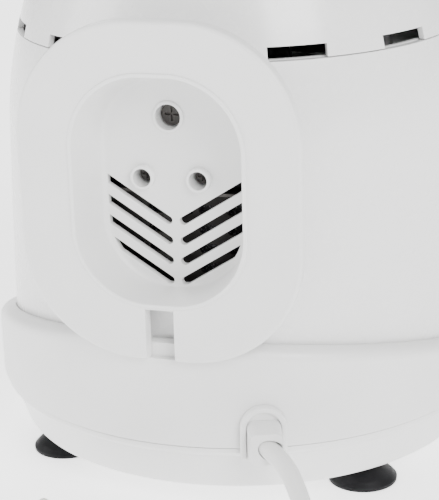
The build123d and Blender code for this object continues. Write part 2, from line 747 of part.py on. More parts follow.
with BuildPart() as thermal_cutout:
    with BuildSketch(level(DECK_Z + 1.2)):
        with Locations((-30, -56)):
            Circle(7)
    extrude(amount=6)
    with BuildSketch(level(DECK_Z + 7.2)):
        with Locations((-33, -56), (-27, -56)):
            Rectangle(0.8, 5)
    extrude(amount=7)
thermal_cutout.part.label = "thermal_cutout"
export_step(thermal_cutout.part, "parts/thermal_cutout.step")

with BuildPart() as door_switch:
    with BuildSketch(behind(-40, LINER_R + 0.2, 0)):
        with Locations((0, 124)):
            RectangleRounded(20, 10, 1)
    extrude(amount=6.4)
    with BuildSketch(behind(-40, LINER_R + 6.6, 0)):
        with Locations((-6, 124), (0, 124), (6, 124)):
            Rectangle(0.8, 4)
    extrude(amount=4.5)
door_switch.part.label = "door_switch"
export_step(door_switch.part, "parts/door_switch.step")

with BuildPart() as terminal_block:
    with BuildSketch(level(PAN_FLOOR)):
        with Locations((-26, 66)):
            RectangleRounded(30, 14, 1.5)
    extrude(amount=12)
    with BuildSketch(level(PAN_FLOOR + 8)):
        with Locations((-26, 66)):
            with GridLocations(9, 0, 3, 1):
                Circle(2.4)
    extrude(amount=5, mode=Mode.SUBTRACT)
terminal_block.part.label = "terminal_block"
export_step(terminal_block.part, "parts/terminal_block.step")

# ---- drawer ------------------------------------------------------------------------------
RUNNER_Z = 35.0
PAN_LOW = 39.0
PAN_HIGH = 118.0
PANEL_LOW = OPENING_LOW + 0.8
PANEL_HIGH = OPENING_HIGH - 0.8
PANEL_MID = (PANEL_LOW + PANEL_HIGH) / 2

with BuildPart() as drawer_runners:
    with BuildSketch(level(RUNNER_Z)):
        with GridLocations(84, 0, 2, 1):
            RectangleRounded(6, 120, 2)
    extrude(amount=PAN_LOW - RUNNER_Z - 0.2)
drawer_runners.part.label = "drawer_runners"
export_step(drawer_runners.part, "parts/drawer_runners.step")

with BuildPart() as drawer_pan:
    with BuildSketch(SECTION):
        outline([
            (0, PAN_LOW), (PAN_R - 8, PAN_LOW), (PAN_R - 2, PAN_LOW + 3), (PAN_R, PAN_LOW + 9),
            (PAN_R, PAN_HIGH), (PAN_R - 1.4, PAN_HIGH), (PAN_R - 1.4, PAN_LOW + 9.4),
            (PAN_R - 3, PAN_LOW + 4.2), (PAN_R - 8.4, PAN_LOW + 1.4), (0, PAN_LOW + 1.4),
        ])
    revolve(axis=UP)
drawer_pan.part.label = "drawer_pan"
export_step(drawer_pan.part, "parts/drawer_pan.step")

BASKET_LOW = 47.0
BASKET_HIGH = PAN_HIGH + 1.6
with BuildPart() as basket:
    with BuildSketch(SECTION):
        outline([
            (0, BASKET_LOW), (BASKET_R - 7, BASKET_LOW), (BASKET_R, BASKET_LOW + 8),
            (BASKET_R, PAN_HIGH + 0.3), (PAN_R, PAN_HIGH + 0.3), (PAN_R, BASKET_HIGH),
            (BASKET_R - 1.1, BASKET_HIGH), (BASKET_R - 1.1, BASKET_LOW + 8.4),
            (BASKET_R - 7.4, BASKET_LOW + 1.1), (0, BASKET_LOW + 1.1),
        ])
    revolve(axis=UP)
    with BuildSketch(level(BASKET_LOW - 1)):
        for ring, count in ((10, 6), (20, 12), (30, 18), (40, 24), (50, 30), (59, 36)):
            with PolarLocations(ring, count):
                Circle(2.0)
    extrude(amount=4, mode=Mode.SUBTRACT)
    for turn in range(12):
        with BuildSketch(behind(turn * 30 + 15, 60, 0)):
            with Locations((0, 62), (0, 70), (0, 78)):
                SlotOverall(24, 2.6)
        extrude(amount=14, mode=Mode.SUBTRACT)
    with BuildSketch(front(60)):
        with Locations((-8, 108), (8, 108)):
            Circle(2.1)
    extrude(amount=14, mode=Mode.SUBTRACT)
basket.part.label = "basket"
export_step(basket.part, "parts/basket.step")

BRACKET_TOP = 126.2
HANDLE_SCREWS = [(-9, 110), (9, 110)]
with BuildPart() as basket_bracket:
    with BuildSketch(side(-12)):
        outline([
            (-66.0, 102), (-67.6, 102), (-67.6, 124.6), (-90.8, 124.6), (-90.8, 103.5),
            (-92.2, 103.5), (-92.2, BRACKET_TOP), (-66.0, BRACKET_TOP),
        ])
    extrude(amount=24)
    with BuildSketch(front(60)):
        with Locations((-8, 108), (8, 108)):
            Circle(2.1)
    extrude(amount=14, mode=Mode.SUBTRACT)
    with BuildSketch(front(80)):
        with Locations(*HANDLE_SCREWS):
            Circle(2.0)
    extrude(amount=14, mode=Mode.SUBTRACT)
basket_bracket.part.label = "basket_bracket"
export_step(basket_bracket.part, "parts/basket_bracket.step")

with BuildPart() as basket_rivets:
    with BuildSketch(front(64.6)):
        with Locations((-8, 108), (8, 108)):
            Circle(3.6)
    extrude(amount=1.4)
    with BuildSketch(front(66.0)):
        with Locations((-8, 108), (8, 108)):
            Circle(2.0)
    extrude(amount=4.6)
basket_rivets.part.label = "basket_rivets"
export_step(basket_rivets.part, "parts/basket_rivets.step")

with BuildPart() as drawer_backing:
    with BuildSketch(SECTION):
        outline([
            (PAN_R + 0.4, 40), (93.2, 40), (93.2, 42), (75.2, 42), (75.2, 122), (93.2, 122),
            (93.2, 124.4), (PAN_R + 0.4, 124.4),
        ])
    revolve(axis=UP)
    with BuildSketch(SECTION):
        with Locations((0, 82.2)):
            RectangleRounded(140, 84.4, 5)
    extrude(amount=120, mode=Mode.INTERSECT)
    with BuildSketch(level(120)):
        with Locations((0, -96)):
            Rectangle(26, 20)
    extrude(amount=10, mode=Mode.SUBTRACT)
drawer_backing.part.label = "drawer_backing"
export_step(drawer_backing.part, "parts/drawer_backing.step")

with BuildPart() as drawer_front:
    with BuildSketch(SECTION):
        outline([(93.4, PANEL_LOW), (PANEL_R, PANEL_LOW), (PANEL_R, PANEL_HIGH), (93.4, PANEL_HIGH)])
    revolve(axis=UP)
    with BuildSketch(SECTION):
        with Locations((0, PANEL_MID)):
            RectangleRounded(OPENING_W - 1.6, PANEL_HIGH - PANEL_LOW, 8)
    extrude(amount=120, mode=Mode.INTERSECT)
    rim = drawer_front.edges().filter_by(
        lambda e: abs(Vector((e @ 0.5).X, (e @ 0.5).Y - AXIS_Y, 0).length - PANEL_R) < 0.05)
    fillet(rim, 1.6)
    with BuildSketch(SECTION):
        with Locations(*HANDLE_SCREWS):
            Circle(2.0)
    extrude(amount=120, mode=Mode.SUBTRACT)
drawer_front.part.label = "drawer_front"
export_step(drawer_front.part, "parts/drawer_front.step")

# ---- handle ------------------------------------------------------------------------------
HANDLE_HALF = 17.0
ARM_TOP = 121.0
ARM_LOW = 99.0
GRIP_LOW = 52.0
GRIP_BACK = 128.0
COVER_T = 2.6
HANDLE_OUTLINE = [
    (-90, ARM_LOW), (-90, ARM_TOP), (-(HANDLE_FACE - 8), ARM_TOP), (-HANDLE_FACE, ARM_TOP - 8),
    (-HANDLE_FACE, GRIP_LOW + 5), (-(HANDLE_FACE - 4), GRIP_LOW), (-(GRIP_BACK + 3), GRIP_LOW),
    (-GRIP_BACK, GRIP_LOW + 3), (-GRIP_BACK, ARM_LOW - 6), (-(GRIP_BACK - 6), ARM_LOW),
]
CORE_OUTLINE = [
    (-90, ARM_LOW), (-90, ARM_TOP - COVER_T), (-(HANDLE_FACE - 9.1), ARM_TOP - COVER_T),
    (-(HANDLE_FACE - COVER_T), ARM_TOP - 9.1), (-(HANDLE_FACE - COVER_T), GRIP_LOW + 6.1),
    (-(HANDLE_FACE - 8.7), GRIP_LOW), (-(GRIP_BACK + 3), GRIP_LOW), (-GRIP_BACK, GRIP_LOW + 3),
    (-GRIP_BACK, ARM_LOW - 6), (-(GRIP_BACK - 6), ARM_LOW),
]
BUTTON_Y = -112.0
BUTTON_W = 15.0
BUTTON_L = 12.0
BUTTON_LOW = 109.0
POCKET_LOW = 101.6
BUTTON_TRAVEL = 2.5

with BuildPart() as handle_core:
    with BuildSketch(side(-HANDLE_HALF)):
        outline(CORE_OUTLINE)
    extrude(amount=2 * HANDLE_HALF)
    with BuildSketch(level(40)):
        Circle(PANEL_R + 0.05)
    extrude(amount=100, mode=Mode.SUBTRACT)
    with BuildSketch(level(POCKET_LOW)):
        with Locations((0, BUTTON_Y)):
            RectangleRounded(BUTTON_W + 1, BUTTON_L + 1, 2)
    extrude(amount=30, mode=Mode.SUBTRACT)
    with BuildSketch(SECTION):
        with Locations(*HANDLE_SCREWS):
            Circle(1.8)
    extrude(amount=104.6, mode=Mode.SUBTRACT)
handle_core.part.label = "handle_core"
export_step(handle_core.part, "parts/handle_core.step")

with BuildPart() as handle_cover:
    with BuildSketch(side(-HANDLE_HALF)):
        outline(HANDLE_OUTLINE)
    extrude(amount=2 * HANDLE_HALF)
    fillet(handle_cover.edges().filter_by(
        lambda e: abs(abs(e.center().X) - HANDLE_HALF) < 0.01
        and (e.center().Z > ARM_TOP - 6 or e.center().Y < AXIS_Y - HANDLE_FACE + 3)), 1.8)
    with BuildSketch(side(-HANDLE_HALF - 1)):
        outline(CORE_OUTLINE)
    extrude(amount=2 * HANDLE_HALF + 2, mode=Mode.SUBTRACT)
    with BuildSketch(level(40)):
        Circle(PANEL_R + 0.05)
    extrude(amount=100, mode=Mode.SUBTRACT)
    with BuildSketch(level(POCKET_LOW)):
        with Locations((0, BUTTON_Y)):
            RectangleRounded(BUTTON_W + 1, BUTTON_L + 1, 2)
    extrude(amount=30, mode=Mode.SUBTRACT)
handle_cover.part.label = "handle_cover"
export_step(handle_cover.part, "parts/handle_cover.step")

with BuildPart() as handle_screws:
    with BuildSketch(front(88.4)):
        with Locations(*HANDLE_SCREWS):
            Circle(3.6)
    extrude(amount=2.4)
    with BuildSketch(front(90.8)):
        with Locations(*HANDLE_SCREWS):
            Circle(1.75)
    extrude(amount=13.4)
handle_screws.part.label = "handle_screws"
export_step(handle_screws.part, "parts/handle_screws.step")

with BuildPart() as release_button:
    with BuildSketch(level(BUTTON_LOW)):
        with Locations((0, BUTTON_Y)):
            RectangleRounded(BUTTON_W, BUTTON_L, 1.8)
    extrude(amount=ARM_TOP + 0.9 - BUTTON_LOW)
    fillet(release_button.edges().group_by(Axis.Z)[-1], 0.8)
release_button.part.label = "release_button"
export_step(release_button.part, "parts/release_button.step")

with BuildPart() as button_spring:
    with BuildLine(Plane(origin=(0, AXIS_Y + BUTTON_Y, POCKET_LOW + 0.45))):
        coil_line = Helix(pitch=1.6, height=BUTTON_LOW - POCKET_LOW - 0.9, radius=3.4)
    with BuildSketch(Plane(origin=coil_line @ 0, z_dir=coil_line % 0)):
        Circle(0.4)
    sweep(is_frenet=True)
button_spring.part.label = "button_spring"
export_step(button_spring.part, "parts/button_spring.step")

GUARD_BACK = 103.0
GUARD_LENGTH = 20.0
GUARD_LOW = 112.5
with BuildPart() as button_guard:
    with BuildSketch(front(GUARD_BACK)):
        with Locations((0, (GUARD_LOW + 124.4) / 2)):
            RectangleRounded(2 * HANDLE_HALF + 4.4, 124.4 - GUARD_LOW, 2.4)
        with Locations((0, (GUARD_LOW - 6 + 122.6) / 2)):
            RectangleRounded(2 * HANDLE_HALF + 0.8, 122.6 - GUARD_LOW + 6, 2.0, mode=Mode.SUBTRACT)
    extrude(amount=GUARD_LENGTH)
button_guard.part.label = "button_guard"
export_step(button_guard.part, "parts/button_guard.step")

# ---- cord gland and strain relief --------------------------------------------------------
GLAND_R = BELT_R + 0.05
ARCH_R = 8.7
ARCH_MID_Z = 38.1
ARCH_LOW = 26.2
ARCH_INNER_R = 6.5
STEM_R = 4.9

with BuildPart() as cord_gland:
    with BuildSketch(behind(GLAND_ANGLE, GLAND_R, 0)):
        with Locations((0, ARCH_MID_Z)):
            Circle(ARCH_R)
        with Locations((0, (ARCH_LOW + ARCH_MID_Z) / 2)):
            Rectangle(2 * ARCH_R, ARCH_MID_Z - ARCH_LOW)
    extrude(amount=1.6)
    with BuildSketch(behind(GLAND_ANGLE, GLAND_R, 0)):
        with Locations((0, ARCH_MID_Z)):
            Circle(ARCH_R)
        with Locations((0, (ARCH_LOW + ARCH_MID_Z) / 2)):
            Rectangle(2 * ARCH_R, ARCH_MID_Z - ARCH_LOW)
        with Locations((0, ARCH_MID_Z)):
            Circle(ARCH_INNER_R, mode=Mode.SUBTRACT)
        with Locations((0, (20 + ARCH_MID_Z) / 2)):
            Rectangle(2 * ARCH_INNER_R, ARCH_MID_Z - 20, mode=Mode.SUBTRACT)
    extrude(amount=3.2)
    fillet(cord_gland.edges().group_by(
        Axis(behind(GLAND_ANGLE, 0, 0).origin, behind(GLAND_ANGLE, 0, 0).z_dir))[-1], 0.7)
    with BuildSketch(behind(GLAND_ANGLE, GLAND_R, CORD_Z)):
        Rectangle(11.8, 12.6)
    extrude(amount=-12)
    with BuildSketch(behind(GLAND_ANGLE, GLAND_R - 13, CORD_Z)):
        Circle(STEM_R + 0.1)
    extrude(amount=20, mode=Mode.SUBTRACT)
cord_gland.part.label = "cord_gland"
export_step(cord_gland.part, "parts/cord_gland.step")

# The cord's route, as (x, distance behind the body's axis, height) of each corner.
CORD_ROUTE = [
    (-33.3, 101.4, 34.5), (-44.3, 107.5, 31.0), (-51.3, 113.0, 21.5), (-57.0, 121.0, 12.2),
    (-65.0, 132.5, 5.7), (-73.5, 148.0, 3.9), (-80.5, 166.0, 3.8), (-84.0, 185.0, 3.8),
]
COIL_X = -41.0           # middle of the coil
COIL_BACK = 200.0
TAIL_ROUTE = [
    (-47.0, 239.8, 10.6), (-30.0, 241.0, 11.8), (-12.0, 238.0, 11.4), (5.5, 230.5, 7.8),
    (20.5, 220.0, 5.6), (29.5, 206.5, 7.2), (34.0, 194.0, 8.4), (35.0, 182.0, 8.4),
]
PLUG_X = 35.0
PLUG_Z = 8.4
PLUG_NECK = 188.0        # where the cord enters the plug's neck, behind the body's axis
PLUG_FACE = 138.0        # the plug's front face, behind the body's axis


def placed(route):
    """A route's corners in the part's frame."""
    return [Vector(x, AXIS_Y + back, z) for x, back, z in route]


def bend_radii(corners):
    """The largest even arc for each corner: 0.45 of its shorter run on each side."""
    radii = []
    for before, here, after in zip(corners, corners[1:], corners[2:]):
        arrive = here - before
        leave = after - here
        half_turn = radians(arrive.get_angle(leave)) / 2
        radii.append(0.45 * min(arrive.length, leave.length) / tan(half_turn))
    return radii


def tube(route):
    """Round cord along a route of straight runs joined by arcs."""
    corners = placed(route)
    radii = bend_radii(corners)
    with BuildPart() as made:
        with BuildLine():
            line = FilletPolyline(*corners, radius=radii)
        with BuildSketch(Plane(origin=line @ 0, z_dir=line % 0)):
            Circle(CORD_R)
        sweep(path=line)
    print("bend radii:", [round(r, 1) for r in radii])
    print("length:", round(line.length, 1), "volume over section times length:",
          round(made.part.volume / (pi * CORD_R ** 2 * line.length), 4))
    return made


RELIEF_TIP = 112.4
with BuildPart() as strain_relief:
    with BuildSketch(behind(GLAND_ANGLE, GLAND_R + 1.65, 0)):
        with Locations((0, 33.3)):
            RectangleRounded(12.8, 16.0, 2.4)
    with BuildSketch(behind(GLAND_ANGLE, RELIEF_TIP, 0)):
        with Locations((0.4, 32.9)):
            RectangleRounded(11.8, 12.4, 2.4)
    loft()
    with BuildSketch(behind(GLAND_ANGLE, GLAND_R - 12, CORD_Z)):
        Circle(STEM_R)
    extrude(amount=14)
    cord_start = placed(CORD_ROUTE)[0]
    cord_heading = placed(CORD_ROUTE)[1] - cord_start
    with BuildSketch(Plane(origin=cord_start, z_dir=cord_heading)):
        Circle(CORD_R + 0.4)
    extrude(amount=20, mode=Mode.SUBTRACT)
strain_relief.part.label = "strain_relief"
export_step(strain_relief.part, "parts/strain_relief.step")

# ---- cord, coil and plug -----------------------------------------------------------------
cord = tube(CORD_ROUTE)
cord.part.label = "cord"
export_step(cord.part, "parts/cord.step")

COIL_R = 40.0            # middle of the coil's turns
COIL_HALF = 7.2
COIL_TOP = 13.6
with BuildPart() as cord_coil:
    with BuildSketch(Plane(
            origin=(COIL_X, AXIS_Y + COIL_BACK, 0), x_dir=(1, 0, 0), z_dir=(0, -1, 0))):
        outline([
            (COIL_R - COIL_HALF, 1.4), (COIL_R - COIL_HALF + 1.4, 0.1),
            (COIL_R + COIL_HALF - 1.4, 0.1), (COIL_R + COIL_HALF, 1.4), (COIL_R + COIL_HALF, 5.6),
            (COIL_R + 3.4, COIL_TOP - 1.4), (COIL_R + 1.6, COIL_TOP), (COIL_R - 1.6, COIL_TOP),
            (COIL_R - 3.4, COIL_TOP - 1.4), (COIL_R - COIL_HALF, 5.6),
        ])
    revolve(axis=Axis((COIL_X, AXIS_Y + COIL_BACK, 0), (0, 0, 1)))
cord_coil.part.label = "cord_coil"
export_step(cord_coil.part, "parts/cord_coil.step")

cord_tail = tube(TAIL_ROUTE)
cord_tail.part.label = "cord_tail"
export_step(cord_tail.part, "parts/cord_tail.step")

PLUG_BACK = PLUG_FACE + 36
with BuildPart() as plug_body:
    with BuildSketch(Plane(origin=(PLUG_X, AXIS_Y, 0.3))):
        outline([
            (-17.6, PLUG_FACE), (17.6, PLUG_FACE), (17.6, PLUG_FACE + 17), (12.5, PLUG_FACE + 29),
            (7.0, PLUG_BACK), (-7.0, PLUG_BACK), (-12.5, PLUG_FACE + 29), (-17.6, PLUG_FACE + 17),
        ])
    extrude(amount=2 * (PLUG_Z - 0.3))
    fillet(plug_body.edges().filter_by(Axis.Z), 3.0)
    fillet(plug_body.edges().group_by(Axis.Z)[-1] + plug_body.edges().group_by(Axis.Z)[0], 2.2)
    with BuildSketch(Plane(origin=(PLUG_X, AXIS_Y + PLUG_BACK - 2, PLUG_Z), z_dir=(0, 1, 0))):
        Circle(6.4)
    with BuildSketch(Plane(origin=(PLUG_X, AXIS_Y + PLUG_NECK, PLUG_Z), z_dir=(0, 1, 0))):
        Circle(4.6)
    loft()
    with BuildSketch(Plane(origin=(PLUG_X, AXIS_Y + PLUG_NECK, PLUG_Z), z_dir=(0, -1, 0))):
        Circle(CORD_R)
    extrude(amount=PLUG_NECK - 182.0, mode=Mode.SUBTRACT)
plug_body.part.label = "plug_body"
export_step(plug_body.part, "parts/plug_body.step")

PIN_R = 2.4
PIN_LENGTH = 19.0
with BuildPart() as plug_pins:
    with BuildSketch(Plane(
            origin=(PLUG_X, AXIS_Y + PLUG_FACE, PLUG_Z), x_dir=(1, 0, 0), z_dir=(0, -1, 0))):
        with GridLocations(19.0, 0, 2, 1):
            Circle(PIN_R)
    extrude(amount=PIN_LENGTH)
    fillet(plug_pins.edges().group_by(Axis.Y)[0], 1.4)
plug_pins.part.label = "plug_pins"
export_step(plug_pins.part, "parts/plug_pins.step")
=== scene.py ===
"""Looks of the compact hot-air fryer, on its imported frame. Metres, +Z up, rear at +Y."""

import json
from math import cos, radians, sin

import bmesh
import bpy
from mathutils import Matrix, Quaternion, Vector


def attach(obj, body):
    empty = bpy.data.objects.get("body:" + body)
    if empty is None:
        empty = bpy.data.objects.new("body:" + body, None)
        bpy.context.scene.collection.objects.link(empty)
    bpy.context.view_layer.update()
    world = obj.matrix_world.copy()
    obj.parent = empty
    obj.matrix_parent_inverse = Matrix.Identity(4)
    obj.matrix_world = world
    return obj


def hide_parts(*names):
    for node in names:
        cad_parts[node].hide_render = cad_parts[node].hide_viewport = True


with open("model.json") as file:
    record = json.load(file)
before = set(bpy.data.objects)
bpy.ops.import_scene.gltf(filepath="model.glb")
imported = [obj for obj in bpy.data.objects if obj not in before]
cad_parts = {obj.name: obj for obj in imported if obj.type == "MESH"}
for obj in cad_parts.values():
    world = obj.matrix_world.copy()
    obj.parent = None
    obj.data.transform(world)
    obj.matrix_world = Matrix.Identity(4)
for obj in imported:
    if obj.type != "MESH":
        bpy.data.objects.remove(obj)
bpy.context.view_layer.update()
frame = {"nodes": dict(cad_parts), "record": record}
nodes = frame["nodes"]

MM = 0.001
AXIS_Y = 0.01945         # the round body's axis is behind the middle, as the handle is in front
CORD_R = 0.00355


def at(x, back, z):
    """Point given in millimetres, with its distance behind the body's axis."""
    return Vector((x * MM, AXIS_Y + back * MM, z * MM))


# ---- camera ------------------------------------------------------------------------------
CAMERA_PLACE = at(-179.5, 609.9, 285.2)
CAMERA_AIM = at(4.06, 21.5, 78.6)
CAMERA_ROLL = radians(-1.66)
LENS = 114.84
SENSOR_W = 36.0

camera_data = bpy.data.cameras.new("camera")
camera_data.lens = LENS
camera_data.sensor_width = SENSOR_W
camera_data.clip_start = 0.01
camera = bpy.data.objects.new("camera", camera_data)
bpy.context.scene.collection.objects.link(camera)
camera.location = CAMERA_PLACE
level = (CAMERA_AIM - CAMERA_PLACE).to_track_quat("-Z", "Y")
camera.rotation_mode = "QUATERNION"
camera.rotation_quaternion = level @ Quaternion((0, 0, 1), CAMERA_ROLL)
bpy.context.scene.camera = camera

# ---- cord --------------------------------------------------------------------------------
# Points are (x, distance behind the axis, height), in millimetres.
CORD_ROUTE = [
    (-33.3, 101.4, 34.5), (-44.3, 107.5, 31.0), (-51.3, 113.0, 21.5), (-57.0, 121.0, 12.2),
    (-65.0, 132.5, 5.7), (-73.5, 148.0, 3.9), (-80.5, 166.0, 3.8), (-84.0, 185.0, 3.8),
]
TAIL_ROUTE = [
    (-47.0, 239.8, 10.6), (-30.0, 241.0, 11.8), (-12.0, 238.0, 11.4), (5.5, 230.5, 7.8),
    (20.5, 220.0, 5.6), (29.5, 206.5, 7.2), (34.0, 194.0, 8.4), (35.0, 182.0, 8.4),
]
COIL_X = -41.0
COIL_BACK = 200.0
COIL_TURNED = 800        # degrees
COIL_STEP = 30
INWARD = (290, 360)      # degrees over which the cord moves to the inner turn
UPWARD = (590, 660)      # degrees over which it climbs on top
OUTER_R, INNER_R, UPPER_R = 45.1, 37.6, 41.4
LOW_Z, HIGH_Z = 3.8, 10.6


def between(value, start, end):
    """0 before start, 1 after end, and even in between."""
    return min(max((value - start) / (end - start), 0.0), 1.0)


def coil_points():
    """Turns of the coil: the outer one, then the inner one, then the one on top of both."""
    points = []
    for turned in range(0, COIL_TURNED, COIL_STEP):
        radius = OUTER_R + (INNER_R - OUTER_R) * between(turned, *INWARD)
        radius += (UPPER_R - INNER_R) * between(turned, *UPWARD)
        height = LOW_Z + (HIGH_Z - LOW_Z) * between(turned, *UPWARD)
        angle = radians(180 - turned)
        points.append((COIL_X + radius * cos(angle), COIL_BACK + radius * sin(angle), height))
    return points


cord_curve = bpy.data.curves.new("cord_line", "CURVE")
cord_curve.dimensions = "3D"
cord_curve.bevel_depth = 1.0     # the points' own radii give the thickness
cord_curve.bevel_resolution = 6
cord_curve.resolution_u = 12
cord_curve.use_fill_caps = True
line = cord_curve.splines.new("NURBS")
route = [at(*p) for p in CORD_ROUTE + coil_points() + TAIL_ROUTE]
line.points.add(len(route) - 1)
for point, place in zip(line.points, route):
    point.co = (*place, 1.0)
    point.radius = CORD_R
line.order_u = 3
line.use_endpoint_u = True
mains_cord = bpy.data.objects.new("mains_cord", cord_curve)
bpy.context.scene.collection.objects.link(mains_cord)
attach(mains_cord, "body")
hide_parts("cord", "cord_coil", "cord_tail")


# ---- materials ---------------------------------------------------------------------------
MOTTLE_SCALE = 38.0      # patches of colour, in cells per metre
GLOSS_SCALE = 95.0
FLECK_START = -2.2       # below 0, so that flecks stay faint
RELIEF_HEIGHT = 0.0004
SCATTER_REACH = (0.004, 0.004, 0.004)
SCATTER_SCALE = 0.3
COAT_ROUGHNESS = 0.12
WHITE = (0.80, 0.80, 0.795)
OFF_WHITE = (0.78, 0.78, 0.775)
# Lighter edge colours for the white and steel parts: a painted highlight along their rounded
# edges.
WHITE_EDGE_HIGHLIGHT = (0.86, 0.86, 0.86)
MOULDED_EDGE_HIGHLIGHT = (0.84, 0.84, 0.84)
STEEL_EDGE_HIGHLIGHT = (0.8, 0.8, 0.8)


def node(tree, kind, **inputs):
    """New node of that kind, with the named inputs set."""
    made = tree.nodes.new(kind)
    for name, value in inputs.items():
        made.inputs[name.replace("_", " ")].default_value = value
    return made


def noise(tree, scale, detail=3.0, stretch=(1, 1, 1)):
    """Noise over the object's own space, its scale in cells per metre."""
    place = tree.nodes.new("ShaderNodeTexCoord")
    mapping = tree.nodes.new("ShaderNodeMapping")
    mapping.inputs["Scale"].default_value = stretch
    cells = node(tree, "ShaderNodeTexNoise", Scale=scale, Detail=detail)
    tree.links.new(place.outputs["Object"], mapping.inputs["Vector"])
    tree.links.new(mapping.outputs["Vector"], cells.inputs["Vector"])
    return cells.outputs["Fac"]


def spread(tree, value, low, high):
    """Value from 0 to 1 mapped to a range, with the middle of the noise stretched out."""
    ranged = node(tree, "ShaderNodeMapRange", From_Min=0.3, From_Max=0.7, To_Min=low, To_Max=high)
    tree.links.new(value, ranged.inputs["Value"])
    return ranged.outputs["Result"]


def mix(tree, amount, first, second):
    """Colour mixed from two, by an amount that is a socket or a number."""
    mixer = tree.nodes.new("ShaderNodeMix")
    mixer.data_type = "RGBA"
    for name, value in (("Factor", amount), ("A", first), ("B", second)):
        socket = [s for s in mixer.inputs if s.name == name and s.enabled][0]
        if isinstance(value, bpy.types.NodeSocket):
            tree.links.new(value, socket)
        elif name == "Factor":
            socket.default_value = value
        else:
            socket.default_value = (*value, 1.0)
    return [s for s in mixer.outputs if s.enabled][0]


def edge_mask(tree, radius):
    """1 along sharp edges and 0 on open faces."""
    soft = node(tree, "ShaderNodeBevel", Radius=radius)
    plain = tree.nodes.new("ShaderNodeNewGeometry")
    dot = tree.nodes.new("ShaderNodeVectorMath")
    dot.operation = "DOT_PRODUCT"
    tree.links.new(soft.outputs["Normal"], dot.inputs[0])
    tree.links.new(plain.outputs["Normal"], dot.inputs[1])
    ranged = node(tree, "ShaderNodeMapRange", From_Min=0.995, From_Max=0.8, To_Min=0.0, To_Max=1.0)
    tree.links.new(dot.outputs["Value"], ranged.inputs["Value"])
    return ranged.outputs["Result"]


def material(name, colour, roughness, metallic=0.0, mottle=0.03, grain=900.0, depth=0.02,
             stretch=(1, 1, 1), edge=None, edge_amount=0.35, coat=0.0, bevel=0.0004,
             scatter=0.0, transmission=0.0, rough_spread=0.06, fleck=None, specular=0.5):
    """Procedural finish: mottled colour, uneven gloss, fine relief and softened edges, lightened
    as painted highlight and wear.
    """
    made = bpy.data.materials.new(name)
    made.use_nodes = True
    tree = made.node_tree
    shader = tree.nodes["Principled BSDF"]
    darker = tuple(c * (1 - mottle) for c in colour)
    lighter = tuple(min(c * (1 + mottle), 1.0) for c in colour)
    patches = spread(tree, noise(tree, MOTTLE_SCALE, 4.0, stretch), 0.0, 1.0)
    base = mix(tree, patches, darker, lighter)
    if fleck:
        fleck_colour, fleck_scale = fleck
        specks = spread(tree, noise(tree, fleck_scale, 1.0), FLECK_START, 1.0)
        base = mix(tree, specks, base, fleck_colour)
    # Lighter colour mixed in along edges: a painted edge highlight, which also stands for wear on
    # the dark parts.
    if edge:
        wear_and_highlight = node(tree, "ShaderNodeMath")
        wear_and_highlight.operation = "MULTIPLY"
        tree.links.new(edge_mask(tree, 3 * bevel), wear_and_highlight.inputs[0])
        wear_and_highlight.inputs[1].default_value = edge_amount
        base = mix(tree, wear_and_highlight.outputs["Value"], base, edge)
    tree.links.new(base, shader.inputs["Base Color"])
    gloss = spread(tree, noise(tree, GLOSS_SCALE, 5.0, stretch), roughness - rough_spread,
                   roughness + rough_spread)
    tree.links.new(gloss, shader.inputs["Roughness"])
    shader.inputs["Metallic"].default_value = metallic
    shader.inputs["Specular IOR Level"].default_value = specular
    shader.inputs["Coat Weight"].default_value = coat
    shader.inputs["Coat Roughness"].default_value = COAT_ROUGHNESS
    shader.inputs["Transmission Weight"].default_value = transmission
    if scatter:
        shader.inputs["Subsurface Weight"].default_value = scatter
        shader.inputs["Subsurface Radius"].default_value = SCATTER_REACH
        shader.inputs["Subsurface Scale"].default_value = SCATTER_SCALE
    rounded = node(tree, "ShaderNodeBevel", Radius=bevel)
    relief = node(tree, "ShaderNodeBump", Strength=depth, Distance=RELIEF_HEIGHT)
    tree.links.new(noise(tree, grain, 2.0, stretch), relief.inputs["Height"])
    tree.links.new(rounded.outputs["Normal"], relief.inputs["Normal"])
    tree.links.new(relief.outputs["Normal"], shader.inputs["Normal"])
    return made


